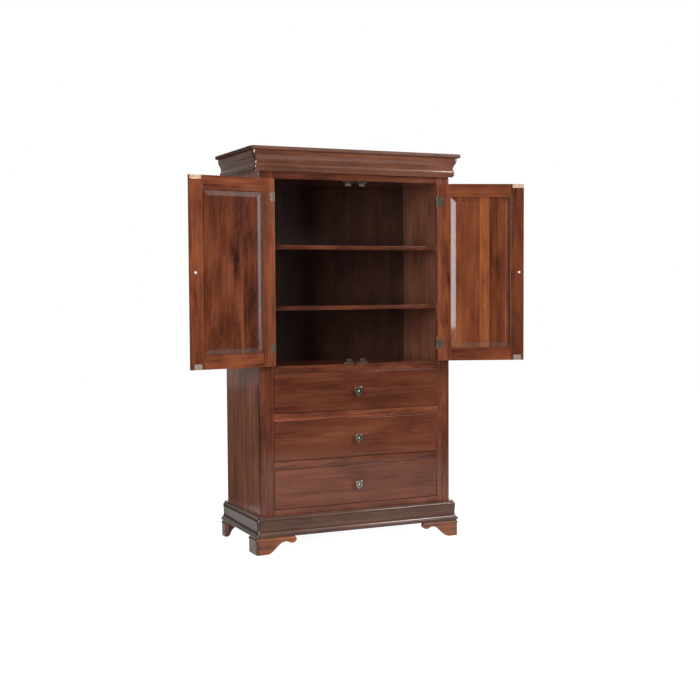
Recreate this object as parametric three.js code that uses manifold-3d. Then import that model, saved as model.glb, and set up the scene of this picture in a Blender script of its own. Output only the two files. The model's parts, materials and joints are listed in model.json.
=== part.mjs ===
// Armoire in dark stained cherry: two raised-panel doors on a bay with two shelves, three drawers
// below them, a crown moulding on top and ogee bracket feet under a moulded base.
// Millimetres, X to the right, Y to the back, Z up. The doors stand open and the drawers are shut.
// The origin is on the floor, in the middle of the whole piece's outline with its doors open.

import * as THREE from 'three';
import { mergeVertices } from 'three/addons/utils/BufferGeometryUtils.js';
import Module from 'manifold-3d';

const wasm = await Module();
wasm.setup();

// Case
const caseWidth = 1050;
const caseDepth = 504;
const sideThickness = 20;
const frameThickness = 20;
const stileWidth = 72;
const cornerRadius = 6;
const cornerSteps = 4;

// Heights, from the floor up
const footHeight = 82;
const baseHeight = 101;
const bottomReveal = 27;
const drawerOpening = 198;
const dividerHeight = 39;
const middleRailHeight = 35;
const doorOpening = 913;
const friezeReveal = 32.5;
const crownHeight = 99.5;
const crownTopThickness = 18;

// Boards inside the case
const deckThickness = 20;
const backThickness = 8;
const backInset = 14;
const backRabbet = 8;
const dustPanelThickness = 6;
const webWidth = 45;
const guideHeight = 20;

// Shelves and the pins that carry them
const shelfThickness = 20;
const shelfSetback = 4;
const shelfEndGap = 2;
const shelfHeights = [272, 572];
const pinRadius = 3;
const pinReach = 9;
const pinRoot = 6;
const pinInset = 40;

// Fits
const seatGap = 0.3;
const drawerGap = 2;
const doorEndGap = 2.5;
const meetingGap = 3;
const overrun = 12;

// Crown
const crownTopOverhang = 49;
const crownTopEase = 4;
const crownFascia = 33.5;
const crownFasciaHeight = 14;
const crownWaist = 19;
const crownWaistHeight = 12;
const crownBeadReach = 25;
const crownBeadHeight = 32;
const crownLipHeight = 4.5;
const crownNotchDepth = 2;

// Base moulding
const baseLip = 19;
const baseLipHeight = 9;
const baseShoulder = 26.5;
const baseShoulderHeight = 16;
const baseHollow = 24.5;
const baseHollowHeight = 40;
const baseToe = 38;
const baseToeHeight = 15;
const baseFlareHeight = 21;
const baseUndercut = 31;

// Bracket feet
const footReach = 34.5;
const footThickness = 22;
const footNeck = 31;
const footNeckHeight = 5;
const footBeadReach = 37.5;
const footBeadHeight = 14;
const footFlat = 53;
const footLength = 210;
const footSideLength = 114;
const footToeRadius = 8;
const footArchHeight = 58.5;
const footLobeDrop = 10;
const backFootDepth = 50;
const backFootFlat = 36;
const backFootLength = 104;
const glueBlock = 30;
const glueBlockLift = 6;

// Doors
const doorThickness = 20;
const doorMember = 67;
const leftDoorDegrees = 171.5;
const rightDoorDegrees = 160;
const grooveDepth = 10;
const grooveWidth = 6;
const panelFloat = 1.5;
const panelField = 16;
const panelBevel = 26;
const panelQuirk = 1.5;

// Hinges
const hingeEndDistance = 90;
const leafHeight = 44;
const leafThickness = 1;
const leafSpread = 28;
const leafHoleRadius = 2.4;
const leafHoleInset = 9;
const barrelLength = 50;
const barrelRadius = 3.5;
const barrelClearance = 0.4;
const hingePinRadius = 1.6;
const finialRadius = 3.4;
const finialNeck = 2.4;

// Catches and strike plates
const catchOffset = 37;
const catchFlangeWidth = 62;
const catchFlangeHeight = 7;
const catchFlangeDepth = 15;
const catchBodyWidth = 31;
const catchBodyHeight = 17;
const catchBodyDepth = 22;
const catchMagnet = 2;
const strikeThickness = 1.2;
const topStrikeWidth = 59;
const topStrikeHeight = 20;
const bottomStrikeWidth = 40;
const bottomStrikeHeight = 27;
const bottomStrikeInset = 14;
const strikeCorner = 5;
const strikeHoleRadius = 2.6;
const strikeHoleInset = 9;

// Drawers
const drawerFrontThickness = 20;
const drawerEase = 2.5;
const drawerSideThickness = 12;
const drawerSideHeight = 170;
const drawerBackHeight = 150;
const drawerLength = 440;
const drawerBottomLift = 10;
const drawerBottomThickness = 6;
const drawerGroove = 6;
const tailCount = 5;
const tailLap = 7;
const tailRoot = 17;
const tailTip = 24;

// Shield-shaped pulls
const pullWidth = 38;
const pullHeight = 46;
const pullDrop = 5;
const pullThickness = 4;
const pullEase = 1.6;
const pullRim = 5;
const pullDish = 2.2;
const pullStandoff = 9;
const pullStem = 4.5;
const pullRose = 9;
const pullRoseThickness = 3;
const pullBoss = 5;
const pullScrew = 2.2;
const pullScrewHead = 4.5;
const pullScrewHeadThickness = 2.2;
const doorPullInset = 25;

// Levels and half widths that follow
const halfCase = caseWidth / 2;
const halfOpening = halfCase - stileWidth;
const halfInside = halfCase - sideThickness;
const backFace = caseDepth - backInset - backThickness;
const baseTop = footHeight + baseHeight;
const drawerFloor = baseTop + bottomReveal;
const drawerPitch = drawerOpening + dividerHeight;
const middleRailBottom = drawerFloor + 2 * drawerPitch + drawerOpening;
const deckTop = middleRailBottom + middleRailHeight;
const ceiling = deckTop + doorOpening;
const crownBottom = ceiling + friezeReveal;
const crownTopBottom = crownBottom + crownHeight;
const hingeGap = 2 * (leafThickness + 2 * seatGap);
const hingeAxisX = halfOpening - hingeGap / 2;
const hingeAxisY = -(barrelRadius + seatGap);
const doorWidth = halfOpening - hingeGap - meetingGap / 2;
const doorBottom = deckTop + doorEndGap;
const doorTop = ceiling - doorEndGap;
const doorEdge = hingeGap / 2;
const doorFront = -hingeAxisY;
const doorBack = doorFront + doorThickness;

// Finishes
const cherry = (color) => new THREE.MeshStandardMaterial({ color, roughness: 0.38, metalness: 0 });
const plate = (color, roughness) => new THREE.MeshStandardMaterial({ color, roughness, metalness: 0.9 });
const caseWood = () => cherry('#5c3022');
const frameWood = () => cherry('#6b3524');
const doorWood = () => cherry('#7a3d27');
const panelWood = () => cherry('#5a2c1c');
const boxWood = () => cherry('#b88c5c');
const agedNickel = () => plate('#7d7462', 0.35);
const brightBrass = () => plate('#cdb083', 0.3);
const zincSteel = () => plate('#a0968a', 0.4);

// Directions for outlines: drawn in Y and Z and run along X, or drawn in X and Z and run towards -Y
const alongX = new THREE.Matrix4().makeBasis(
  new THREE.Vector3(0, 1, 0), new THREE.Vector3(0, 0, 1), new THREE.Vector3(1, 0, 0));
const towardsFront = new THREE.Matrix4().makeBasis(
  new THREE.Vector3(1, 0, 0), new THREE.Vector3(0, 0, 1), new THREE.Vector3(0, -1, 0));

function solid(geometry) {
  const bare = geometry.clone();
  bare.deleteAttribute('normal');
  bare.deleteAttribute('uv');
  const merged = mergeVertices(bare);
  return new wasm.Manifold(new wasm.Mesh({
    numProp: 3,
    vertProperties: Float32Array.from(merged.attributes.position.array),
    triVerts: Uint32Array.from(merged.index.array),
  }));
}

function surface(body) {
  const mesh = body.getMesh();
  const geometry = new THREE.BufferGeometry();
  geometry.setAttribute('position', new THREE.BufferAttribute(Float32Array.from(mesh.vertProperties), 3));
  geometry.setIndex(Array.from(mesh.triVerts));
  const faceted = geometry.toNonIndexed();
  faceted.computeVertexNormals();
  return faceted;
}

function board([x0, x1], [y0, y1], [z0, z1]) {
  const box = new THREE.BoxGeometry(Math.abs(x1 - x0), Math.abs(y1 - y0), Math.abs(z1 - z0));
  box.translate((x0 + x1) / 2, (y0 + y1) / 2, (z0 + z1) / 2);
  return solid(box);
}

// A body between rings of the same number of points, its two ends closed by the flat outline
function loft(rings, flat) {
  const count = flat.length;
  const position = [];
  for (const ring of rings) {
    for (const point of ring) position.push(point.x, point.y, point.z);
  }
  const index = [];
  for (let level = 0; level + 1 < rings.length; level += 1) {
    for (let i = 0; i < count; i += 1) {
      const a = level * count + i;
      const b = level * count + (i + 1) % count;
      index.push(a, b, a + count, b, b + count, a + count);
    }
  }
  const last = (rings.length - 1) * count;
  for (const [a, b, c] of THREE.ShapeUtils.triangulateShape(flat, [])) {
    index.push(a, c, b, last + a, last + b, last + c);
  }
  const geometry = new THREE.BufferGeometry();
  geometry.setAttribute('position', new THREE.BufferAttribute(new Float32Array(position), 3));
  geometry.setIndex(volume(geometry, index) < 0 ? index.reverse() : index);
  return solid(geometry);
}

function volume(geometry, index) {
  const at = (i) => new THREE.Vector3().fromBufferAttribute(geometry.attributes.position, i);
  let sum = 0;
  for (let i = 0; i < index.length; i += 3) {
    sum += at(index[i]).dot(at(index[i + 1]).cross(at(index[i + 2])));
  }
  return sum;
}

function mirrored(body) {
  const geometry = surface(body);
  geometry.scale(-1, 1, 1);
  const { array } = geometry.attributes.position;
  for (let i = 0; i < array.length; i += 9) {
    for (let k = 0; k < 3; k += 1) [array[i + k], array[i + 3 + k]] = [array[i + 3 + k], array[i + k]];
  }
  return solid(geometry);
}

function rod(radius, from, to, sides, matrix) {
  const cylinder = new THREE.CylinderGeometry(radius, radius, to - from, sides);
  cylinder.rotateX(Math.PI / 2);
  cylinder.translate(0, 0, (from + to) / 2);
  return solid(matrix ? cylinder.applyMatrix4(matrix) : cylinder);
}

function place(x, y, z) {
  return new THREE.Matrix4().makeTranslation(x, y, z);
}

// An outline run along X from a point, or towards the front from it
function runX(shape, depth, [x, y, z], curveSegments = 6) {
  const geometry = new THREE.ExtrudeGeometry(shape, { depth, bevelEnabled: false, curveSegments });
  return solid(geometry.applyMatrix4(alongX).translate(x, y, z));
}

function runForward(shape, depth, [x, y, z], curveSegments = 6) {
  const geometry = new THREE.ExtrudeGeometry(shape, { depth, bevelEnabled: false, curveSegments });
  return solid(geometry.applyMatrix4(towardsFront).translate(x, y, z));
}

function add(group, name, body, material) {
  const mesh = new THREE.Mesh(surface(body), material);
  mesh.name = name;
  group.add(mesh);
}

// The plan of the case's left front corner, at an overhang from it. Mouldings turn it in an arc
// that grows with their overhang, so the corner reads as softly rounded at every level.
const cornerGrowthShare = 0.3;

function cornerPoint(overhang, turn, z) {
  const radius = cornerRadius + cornerGrowthShare * overhang;
  const x = -halfCase - overhang + radius - radius * Math.cos(turn);
  const y = -overhang + radius - radius * Math.sin(turn);
  return new THREE.Vector3(x, y, z);
}

function turns(from, to, steps) {
  return Array.from({ length: steps + 1 }, (_, i) => from + (to - from) * i / steps);
}

const mitre = Math.PI / 4;
const square = Math.PI / 2;

// Rings of a moulding that runs along the left side, from the back to the mitre
function sideRings(profile, backEnd) {
  const rings = [profile.map((p) => new THREE.Vector3(-halfCase - p.x, backEnd, p.y))];
  for (const turn of turns(0, mitre, cornerSteps)) {
    rings.push(profile.map((p) => cornerPoint(p.x, turn, p.y)));
  }
  return rings;
}

// Rings of a moulding that runs along the front, from mitre to mitre
function frontRings(profile) {
  const left = turns(mitre, square, cornerSteps)
    .map((turn) => profile.map((p) => cornerPoint(p.x, turn, p.y)));
  const right = left.map((ring) => ring.map((p) => new THREE.Vector3(-p.x, p.y, p.z))).reverse();
  return [...left, ...right];
}

function crownProfile() {
  const fascia = crownTopBottom - crownFasciaHeight;
  const beadTop = crownBottom + crownLipHeight + crownBeadHeight;
  const waistTop = beadTop + crownWaistHeight;
  const beadFoot = crownWaist - crownNotchDepth;
  const path = new THREE.Shape();
  path.moveTo(0, crownBottom);
  path.lineTo(crownWaist, crownBottom);
  path.lineTo(crownWaist, crownBottom + crownLipHeight);
  path.lineTo(beadFoot, crownBottom + crownLipHeight);
  path.bezierCurveTo(
    crownBeadReach, crownBottom + crownLipHeight + crownNotchDepth,
    crownBeadReach + crownNotchDepth, beadTop - crownNotchDepth,
    crownWaist, beadTop);
  path.lineTo(crownWaist, waistTop);
  path.bezierCurveTo(
    crownWaist + crownNotchDepth, waistTop + crownFasciaHeight,
    crownFascia - crownNotchDepth, fascia - crownFasciaHeight,
    crownFascia, fascia);
  path.lineTo(crownFascia, crownTopBottom);
  path.lineTo(0, crownTopBottom);
  return path.getPoints(7);
}

function baseProfile() {
  const toeTop = footHeight + baseToeHeight;
  const hollowBottom = toeTop + baseFlareHeight;
  const shoulderBottom = baseTop - baseLipHeight - baseShoulderHeight;
  const path = new THREE.Shape();
  path.moveTo(0, footHeight);
  path.lineTo(baseUndercut, footHeight);
  path.quadraticCurveTo(baseToe, footHeight, baseToe, (footHeight + toeTop) / 2);
  path.quadraticCurveTo(baseToe, toeTop, baseToe - (baseToe - baseHollow) / 4, toeTop);
  path.quadraticCurveTo(baseHollow, toeTop + baseFlareHeight / 3, baseHollow, hollowBottom);
  path.quadraticCurveTo(
    baseHollow, hollowBottom + baseHollowHeight / 2, baseShoulder, shoulderBottom);
  path.quadraticCurveTo(
    baseShoulder, shoulderBottom + baseShoulderHeight, baseLip, baseTop - baseLipHeight);
  path.lineTo(baseLip, baseTop);
  path.lineTo(0, baseTop);
  return path.getPoints(5);
}

function footProfile() {
  const neck = footHeight - footNeckHeight;
  const bead = neck - footBeadHeight;
  const path = new THREE.Shape();
  path.moveTo(footReach - footThickness, 0);
  path.lineTo(footReach, 0);
  path.lineTo(footReach, bead);
  path.quadraticCurveTo(footBeadReach, bead, footBeadReach, (bead + neck) / 2);
  path.quadraticCurveTo(footBeadReach, neck, footNeck, neck);
  path.lineTo(footNeck, footHeight);
  path.lineTo(footReach - footThickness, footHeight);
  return path.getPoints(4);
}

// Case

function sidePanel() {
  const panel = board([-halfCase, -halfInside], [frameThickness, caseDepth], [footHeight, crownTopBottom]);
  const rabbet = board(
    [-halfInside - backRabbet, -halfInside + overrun],
    [backFace, caseDepth + overrun],
    [footHeight - overrun, crownTopBottom + overrun]);
  let body = panel.subtract(rabbet);
  const across = new THREE.Matrix4().makeRotationY(square);
  for (const height of shelfHeights) {
    for (const y of [frameThickness + shelfSetback + pinInset, backFace - pinInset]) {
      const at = place(-halfInside, y, deckTop + height - pinRadius - seatGap).multiply(across);
      body = body.add(rod(pinRadius, -pinRoot, pinReach, 8, at));
    }
  }
  return body;
}

function faceStile() {
  const corner = turns(0, square, 2 * cornerSteps).map((turn) => cornerPoint(0, turn, 0));
  const outline = [
    ...corner.map((p) => new THREE.Vector2(p.x, p.y)),
    new THREE.Vector2(-halfOpening, 0),
    new THREE.Vector2(-halfOpening, frameThickness),
    new THREE.Vector2(-halfCase, frameThickness),
  ];
  const ring = (z) => outline.map((p) => new THREE.Vector3(p.x, p.y, z));
  return loft([ring(footHeight), ring(crownTopBottom)], outline);
}

function rail(bottom, top) {
  return board([-halfOpening, halfOpening], [0, frameThickness], [bottom, top]);
}

function insideBoard(bottom) {
  return board([-halfInside, halfInside], [frameThickness, backFace], [bottom, bottom + deckThickness]);
}

// A board across the inside, glued to the rail that hides its front edge
function railedDeck(bottom, railBottom, railTop) {
  const lap = board(
    [-halfOpening, halfOpening], [0, frameThickness + webWidth], [bottom, bottom + deckThickness]);
  return insideBoard(bottom).add(lap).add(rail(railBottom, railTop));
}

// A frame of runners with a dust panel in it and the rail that shows between two drawers.
// The strips beside each drawer keep it straight in its opening.
function drawerDivider(top, railBottom) {
  const underside = top - deckThickness;
  const skin = (deckThickness - dustPanelThickness) / 2;
  const field = [
    [-halfOpening + webWidth, halfOpening - webWidth], [frameThickness + webWidth, backFace - webWidth]];
  let body = railedDeck(underside, railBottom, top)
    .subtract(board(...field, [top - skin, top + overrun]))
    .subtract(board(...field, [underside - overrun, underside + skin]));
  for (const side of [-1, 1]) {
    body = body.add(board(
      [side * halfOpening, side * halfInside], [frameThickness, backFace], [underside, top + guideHeight]));
  }
  return body;
}

function backPanel() {
  const half = halfInside + backRabbet;
  return board([-half, half], [backFace, backFace + backThickness], [baseTop, crownTopBottom]);
}

function shelf(height) {
  const half = halfInside - shelfEndGap;
  const bottom = deckTop + height;
  return board([-half, half], [frameThickness + shelfSetback, backFace], [bottom, bottom + shelfThickness]);
}

function crownTop() {
  const edge = [
    [crownTopOverhang - crownTopEase, crownTopBottom],
    [crownTopOverhang - crownTopEase / 4, crownTopBottom + crownTopEase / 3],
    [crownTopOverhang, crownTopBottom + crownTopEase],
    [crownTopOverhang, crownTopBottom + crownTopThickness - crownTopEase],
    [crownTopOverhang - crownTopEase / 4, crownTopBottom + crownTopThickness - crownTopEase / 3],
    [crownTopOverhang - crownTopEase, crownTopBottom + crownTopThickness],
  ];
  const outline = (overhang, z) => {
    const left = turns(0, square, 2 * cornerSteps).map((turn) => cornerPoint(overhang, turn, z));
    const right = left.map((p) => new THREE.Vector3(-p.x, p.y, z)).reverse();
    const back = [halfCase + overhang, -halfCase - overhang].map((x) => new THREE.Vector3(x, caseDepth, z));
    return [...left, ...right, ...back];
  };
  const rings = edge.map(([overhang, z]) => outline(overhang, z));
  return loft(rings, rings[0].map((p) => new THREE.Vector2(p.x, p.y)));
}

// Feet

// The arch under a front foot's long leg, from the flat it stands on to the scroll at its end,
// measured from the foot's corner
function archShape() {
  const archPeakShare = 0.72;
  const lobeShare = 0.88;
  const archStartShare = 0.36;
  const archEndShare = 0.42;
  const peak = footLength * archPeakShare;
  const lobe = footLength * lobeShare;
  const rise = peak - footFlat;
  const low = footArchHeight - footLobeDrop;
  const shape = new THREE.Shape();
  shape.moveTo(footFlat, -overrun);
  shape.lineTo(footFlat, 0);
  shape.bezierCurveTo(
    footFlat + archStartShare * rise, 0,
    peak - archEndShare * rise, footArchHeight,
    peak, footArchHeight);
  shape.bezierCurveTo(
    (peak + lobe) / 2, footArchHeight, (peak + lobe) / 2, low, lobe, low);
  shape.bezierCurveTo(
    footLength, low, footLength + footLobeDrop / 2, footHeight - footLobeDrop,
    footLength - footLobeDrop, footHeight);
  shape.lineTo(footLength - footLobeDrop, footHeight + overrun);
  shape.lineTo(footLength + overrun, footHeight + overrun);
  shape.lineTo(footLength + overrun, -overrun);
  return shape;
}

function frontFoot() {
  const profile = footProfile();
  const corner = -halfCase - footReach;
  const rings = [profile.map((p) => new THREE.Vector3(-halfCase - p.x, footSideLength - footReach, p.y))];
  for (const turn of turns(0, square, 2 * cornerSteps)) {
    rings.push(profile.map((p) => cornerPoint(p.x, turn, p.y)));
  }
  rings.push(profile.map((p) => new THREE.Vector3(corner + footLength, -p.x, p.y)));
  const arch = runForward(archShape(), footReach + footThickness, [corner, 0, 0], 7);
  const toe = new THREE.Shape();
  toe.moveTo(footSideLength - footReach - footToeRadius, -overrun);
  toe.lineTo(footSideLength - footReach - footToeRadius, 0);
  toe.quadraticCurveTo(footSideLength - footReach, 0, footSideLength - footReach, 2 * footToeRadius);
  toe.lineTo(footSideLength, 2 * footToeRadius);
  toe.lineTo(footSideLength, -overrun);
  const heel = runX(toe, 2 * footThickness, [corner - overrun, 0, 0], 3);
  const inner = footReach - footThickness;
  const block = board(
    [-halfCase - inner - overrun / 4, -halfCase - inner + glueBlock],
    [-inner - overrun / 4, -inner + glueBlock],
    [glueBlockLift, footHeight]);
  return loft(rings, profile).subtract(arch).subtract(heel).add(block);
}

function backFoot() {
  const profile = footProfile();
  const corner = -halfCase - footReach;
  const ring = (y) => profile.map((p) => new THREE.Vector3(-halfCase - p.x, y, p.y));
  const leg = loft([ring(caseDepth - backFootDepth), ring(caseDepth)], profile);
  const brace = board(
    [corner + footThickness / 2, corner + backFootLength],
    [caseDepth - footThickness, caseDepth],
    [0, footHeight]);
  const shape = new THREE.Shape();
  shape.moveTo(backFootFlat, -overrun);
  shape.lineTo(backFootFlat, 0);
  shape.bezierCurveTo(
    backFootFlat + footToeRadius, footHeight / 2,
    backFootLength - 2 * footToeRadius, footHeight / 2,
    backFootLength - footToeRadius, footHeight);
  shape.lineTo(backFootLength - footToeRadius, footHeight + overrun);
  shape.lineTo(backFootLength + overrun, footHeight + overrun);
  shape.lineTo(backFootLength + overrun, -overrun);
  const arch = runForward(shape, footThickness + 2 * overrun, [corner, caseDepth + overrun, 0]);
  return leg.add(brace.subtract(arch));
}

// Doors, drawn shut and measured from the hinge axis. side is 1 where a door runs to +X from its
// hinges and -1 where it runs to -X.

function doorBoard(side, [a0, a1], depths, heights) {
  return board([side * a0, side * a1], depths, heights);
}

const doorMiddle = doorFront + doorThickness / 2;
const doorFar = doorEdge + doorWidth;

function groove(side, span, heights) {
  return doorBoard(side, span, [doorMiddle - grooveWidth / 2, doorMiddle + grooveWidth / 2], heights);
}

function doorStile(side, outer, inner) {
  const inward = Math.sign(inner - outer);
  const cut = [inner - inward * grooveDepth, inner + inward * overrun];
  return doorBoard(side, [outer, inner], [doorFront, doorBack], [doorBottom, doorTop])
    .subtract(groove(side, cut, [doorBottom - overrun, doorTop + overrun]));
}

function doorRail(side, outer, inner) {
  const inward = Math.sign(inner - outer);
  const from = doorEdge + doorMember + seatGap;
  const to = doorFar - doorMember - seatGap;
  const tongue = grooveDepth - panelFloat;
  const half = grooveWidth / 2 - seatGap;
  const shoulder = inner - inward * grooveDepth;
  const tenon = doorBoard(
    side, [from - tongue, to + tongue], [doorMiddle - half, doorMiddle + half], [outer, shoulder]);
  return doorBoard(side, [from, to], [doorFront, doorBack], [outer, inner])
    .subtract(groove(side, [from - overrun, to + overrun], [shoulder, inner + inward * overrun]))
    .add(tenon);
}

function raisedPanel(side) {
  const reach = grooveDepth - panelFloat;
  const centreX = side * (doorEdge + doorFar) / 2;
  const centreZ = (doorBottom + doorTop) / 2;
  const halfX = doorWidth / 2 - doorMember;
  const halfZ = (doorTop - doorBottom) / 2 - doorMember;
  const tongue = grooveWidth / 2 - seatGap;
  const field = panelField / 2;
  const levels = [
    [-field, -panelBevel],
    [-field + panelQuirk, -panelBevel],
    [-tongue, -panelFloat],
    [-tongue, reach],
    [tongue, reach],
    [tongue, -panelFloat],
    [field - panelQuirk, -panelBevel],
    [field, -panelBevel],
  ];
  const signs = [[-1, -1], [1, -1], [1, 1], [-1, 1]];
  const rings = levels.map(([y, grow]) => signs.map(([sx, sz]) => new THREE.Vector3(
    centreX + sx * (halfX + grow), doorMiddle + y, centreZ + sz * (halfZ + grow))));
  return loft(rings, signs.map(([sx, sz]) => new THREE.Vector2(sx, sz)));
}

const backwards = new THREE.Matrix4().makeRotationX(-square);

function holeThrough(radius, x, z, front, back) {
  return rod(radius, front - overrun, back + overrun, 8, backwards.clone().premultiply(place(x, 0, z)));
}

function pullHole(x, z, front, back) {
  return holeThrough(pullScrew + seatGap, x, z, front, back);
}

// Hinge leaves, measured from the hinge axis and from the hinge's middle height
function knuckle(from, to, radius) {
  return rod(radius, from, to, 12);
}

function frameLeaf(side) {
  const third = barrelLength / 6;
  const x0 = -doorEdge + seatGap;
  const sheet = board(
    [side * x0, side * (x0 + leafThickness)],
    [doorFront + seatGap, doorFront + frameThickness - leafThickness],
    [-leafHeight / 2, leafHeight / 2]);
  let body = sheet.add(knuckle(-barrelLength / 2, barrelLength / 2, hingePinRadius));
  for (const end of [-1, 1]) {
    const near = end * (third + barrelClearance);
    const far = end * barrelLength / 2;
    const tip = far + end * (finialNeck + finialRadius);
    const ball = new THREE.SphereGeometry(finialRadius, 10, 6);
    ball.rotateX(square);
    ball.translate(0, 0, tip);
    const wing = board(
      [side * x0, side * (x0 + leafThickness)], [0, doorFront + 2 * seatGap], [near, end * leafHeight / 2]);
    body = body
      .add(knuckle(Math.min(near, far), Math.max(near, far), barrelRadius))
      .add(knuckle(Math.min(far, tip), Math.max(far, tip), finialNeck))
      .add(solid(ball))
      .add(wing);
  }
  return body;
}

function doorLeaf(side) {
  const third = barrelLength / 6;
  const x1 = doorEdge - seatGap;
  const x0 = x1 - leafThickness;
  const back = doorBack + seatGap;
  const heights = [-leafHeight / 2, leafHeight / 2];
  let body = board([side * x0, side * x1], [doorFront + seatGap, back + leafThickness], heights)
    .add(board([side * x0, side * (doorEdge + leafSpread)], [back, back + leafThickness], heights))
    .add(board([side * x0, side * x1], [0, doorFront + 2 * seatGap], [-third, third]))
    .add(knuckle(-third, third, barrelRadius))
    .subtract(knuckle(-third - overrun, third + overrun, hingePinRadius + seatGap));
  for (const end of [-1, 1]) {
    const x = side * (doorEdge + leafSpread - leafHoleInset);
    const z = end * (leafHeight / 2 - leafHoleInset);
    body = body.subtract(holeThrough(leafHoleRadius, x, z, back, back + leafThickness));
  }
  return body;
}

// A magnetic catch with screw ears. up is 1 where it stands on the deck and -1 where it hangs
// from the top panel.
function doorCatch(x, level, up) {
  const front = frameThickness + seatGap + strikeThickness + seatGap;
  const ears = catchFlangeWidth / 2;
  const body = catchBodyWidth / 2;
  const face = [level + up * catchFlangeHeight, level + up * (catchFlangeHeight + catchBodyHeight)];
  const slot = board(
    [x - body / 2, x + body / 2],
    [front - overrun, front + catchMagnet],
    [face[0] + up * catchMagnet, face[1] - up * catchMagnet]);
  return board([x - ears, x + ears], [front, front + catchFlangeDepth], [level, face[0]])
    .add(board([x - body, x + body], [front, front + catchBodyDepth], [level, face[1]]))
    .subtract(slot);
}

function strikePlate(width, height, holes) {
  const half = [width / 2, height / 2];
  const shape = new THREE.Shape();
  shape.moveTo(-half[0] + strikeCorner, -half[1]);
  shape.lineTo(half[0] - strikeCorner, -half[1]);
  shape.absarc(half[0] - strikeCorner, -half[1] + strikeCorner, strikeCorner, -square, 0);
  shape.absarc(half[0] - strikeCorner, half[1] - strikeCorner, strikeCorner, 0, square);
  shape.absarc(-half[0] + strikeCorner, half[1] - strikeCorner, strikeCorner, square, 2 * square);
  shape.absarc(-half[0] + strikeCorner, -half[1] + strikeCorner, strikeCorner, 2 * square, 3 * square);
  for (const x of holes) {
    const hole = new THREE.Path();
    hole.absarc(x, 0, strikeHoleRadius, 0, 4 * square, true);
    shape.holes.push(hole);
  }
  return shape;
}

function strikeAt(shape, x, z) {
  return runForward(shape, strikeThickness, [x, doorBack + seatGap + strikeThickness, z], 3);
}

function topStrike(side) {
  const hole = topStrikeWidth / 2 - strikeHoleInset;
  const plateShape = strikePlate(topStrikeWidth, topStrikeHeight, [-hole, hole]);
  return strikeAt(plateShape, side * (doorFar - seatGap - topStrikeWidth / 2), doorTop - topStrikeHeight / 2);
}

function bottomStrike(side) {
  const plateShape = strikePlate(bottomStrikeWidth, bottomStrikeHeight, [0]);
  const x = side * (doorFar - bottomStrikeInset - bottomStrikeWidth / 2);
  return strikeAt(plateShape, x, doorBottom + bottomStrikeHeight / 2);
}

// A cast shield on a short stem, dished inside a raised rim, held by a screw through the wood.
// It faces -Y, with the front of the wood at front and its back at back.
const shieldCheekShare = 0.9;
const shieldTipShare = 1.5;
const bossDepthShare = 0.6;
const bossHeightShare = 1.3;

function shieldOutline(inset) {
  const half = pullWidth / 2 - inset;
  const top = pullHeight / 2 - inset - pullDrop;
  const tip = shieldTipShare * inset - pullHeight / 2 - pullDrop;
  const shoulder = top - pullHeight / 8;
  const waist = (top + tip) / 2;
  const shape = new THREE.Shape();
  shape.moveTo(0, tip);
  shape.bezierCurveTo(half / 3, tip + half / 3, half, waist - half / 3, half, waist);
  shape.lineTo(half, shoulder);
  shape.quadraticCurveTo(half * shieldCheekShare, top, half / 2, top);
  shape.quadraticCurveTo(half / 4, top - inset / 2, 0, top - pullEase);
  shape.quadraticCurveTo(-half / 4, top - inset / 2, -half / 2, top);
  shape.quadraticCurveTo(-half * shieldCheekShare, top, -half, shoulder);
  shape.lineTo(-half, waist);
  shape.bezierCurveTo(-half, waist - half / 3, -half / 3, tip + half / 3, 0, tip);
  return shape;
}

function shieldPull(front, back) {
  const plane = front - pullStandoff;
  const floor = plane - pullThickness - pullEase + pullDish;
  const head = new THREE.ExtrudeGeometry(shieldOutline(pullEase), {
    depth: pullThickness, bevelThickness: pullEase, bevelSize: pullEase, bevelSegments: 2, curveSegments: 4,
  });
  const dish = runForward(shieldOutline(pullRim + pullEase), overrun, [0, floor, 0], 3);
  const boss = new THREE.SphereGeometry(pullBoss, 10, 6);
  boss.scale(1, bossDepthShare, bossHeightShare);
  boss.translate(0, floor, -pullDrop);
  return solid(head.applyMatrix4(towardsFront).translate(0, plane, 0))
    .subtract(dish)
    .add(solid(boss))
    .add(rod(pullStem, plane - pullThickness / 2, front - seatGap, 12, backwards))
    .add(rod(pullRose, front - seatGap - pullRoseThickness, front - seatGap, 16, backwards))
    .add(rod(pullScrew, front - pullRoseThickness, back + pullScrewHeadThickness, 8, backwards))
    .add(rod(pullScrewHead, back + seatGap, back + seatGap + pullScrewHeadThickness, 12, backwards));
}

function moved(body, x, y, z) {
  const geometry = surface(body);
  geometry.translate(x, y, z);
  return solid(geometry);
}

// Drawers, each drawn from the floor of its own opening

// A dovetail in the drawer's side view, widest at its tip, grown by a clearance all round
function tail(from, to, centre, grow) {
  const half = (y) => grow + tailTip / 2
    - (tailTip - tailRoot) / 2 * (y - tailLap) / (drawerFrontThickness - tailLap);
  const shape = new THREE.Shape();
  shape.moveTo(to, centre - half(to));
  shape.lineTo(to, centre + half(to));
  shape.lineTo(from, centre + half(from));
  shape.lineTo(from, centre - half(from));
  return shape;
}

function tailCentres() {
  const pitch = drawerSideHeight / tailCount;
  return Array.from({ length: tailCount }, (_, i) => seatGap + pitch * (i + 0.5));
}

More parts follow.
